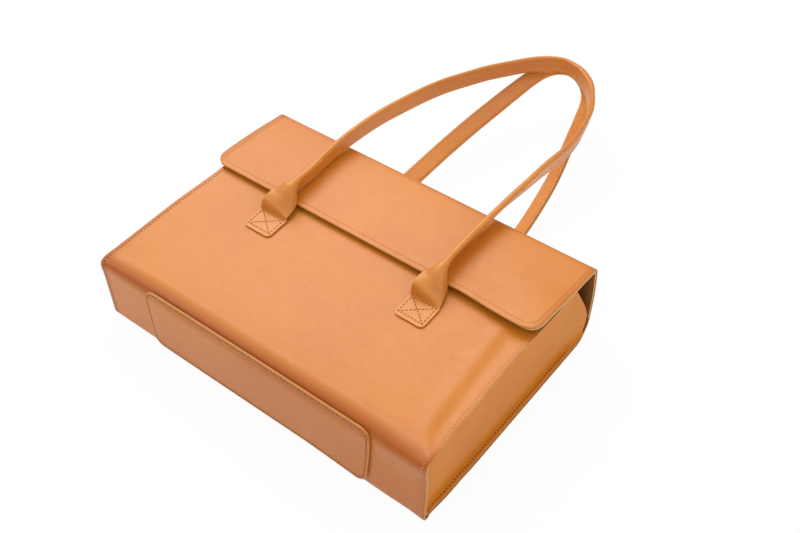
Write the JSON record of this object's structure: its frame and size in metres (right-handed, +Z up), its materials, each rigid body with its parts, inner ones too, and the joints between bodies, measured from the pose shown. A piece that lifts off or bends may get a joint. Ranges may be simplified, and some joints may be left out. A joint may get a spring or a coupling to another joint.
{
  "type": "laptop bag",
  "caption": "Leather laptop bag lying on its back, with a creased fold-over flap on hidden snaps, dished gussets, a sewn base patch and long folded handles on stitched tabs.",
  "frame": {"origin": "on the ground under the middle of the whole bag as it lies on its back", "axes": "+X across the bag, +Y from its base to the top of its handles, +Z up through its depth from back to front"},
  "size_m": [0.4, 0.5814, 0.123],
  "materials": {
    "leather": "satin vegetable-tanned leather",
    "strap_leather": "satin vegetable-tanned leather, darker where it is folded",
    "lining_leather": "matt, flesh side",
    "felt": "matt wool felt",
    "board": "matt fibre board",
    "snap_steel": "nickel plated"
  },
  "bodies": {
    "shell": {"front_base_panel": "leather", "back_panel": "leather", "left_gusset": "leather", "right_gusset": "leather", "base_patch": "leather", "base_board": "board", "front_facing": "lining_leather", "laptop_divider": "felt", "front_tab_left": "leather", "front_tab_right": "leather", "front_tab_backer_left": "lining_leather", "front_tab_backer_right": "lining_leather", "rear_tab_left": "leather", "rear_tab_right": "leather", "rear_tab_backer_left": "lining_leather", "rear_tab_backer_right": "lining_leather", "front_snap_left": "snap_steel", "front_snap_right": "snap_steel", "snap_washer_left": "snap_steel", "snap_washer_right": "snap_steel"},
    "flap": {"flap_outer": "leather", "flap_lining": "lining_leather", "flap_snap_left": "snap_steel", "flap_snap_right": "snap_steel"},
    "front_handle": {"front_handle_strap": "strap_leather", "front_handle_filler": "felt"},
    "rear_handle": {"rear_handle_strap": "strap_leather", "rear_handle_filler": "felt"}
  },
  "joints": [
    {"name": "flap_open", "type": "hinge", "parent": "shell", "child": "flap", "pos_m": [0, -0.0263, 0.01281], "axis": [-1, 0, 0], "range_deg": [0, 75]},
    {"name": "front_handle_swing", "type": "hinge", "parent": "shell", "child": "front_handle", "pos_m": [-0.006, -0.13819, 0.08915], "axis": [1, 0, 0], "range_deg": [0, 120]},
    {"name": "rear_handle_swing", "type": "hinge", "parent": "shell", "child": "rear_handle", "pos_m": [-0.006, -0.13819, 0], "axis": [-1, 0, 0], "range_deg": [0, 120]}
  ],
  "couplings": [
    {"joint": "front_handle_swing", "follows": "flap_open", "ratio": 1.6}
  ]
}
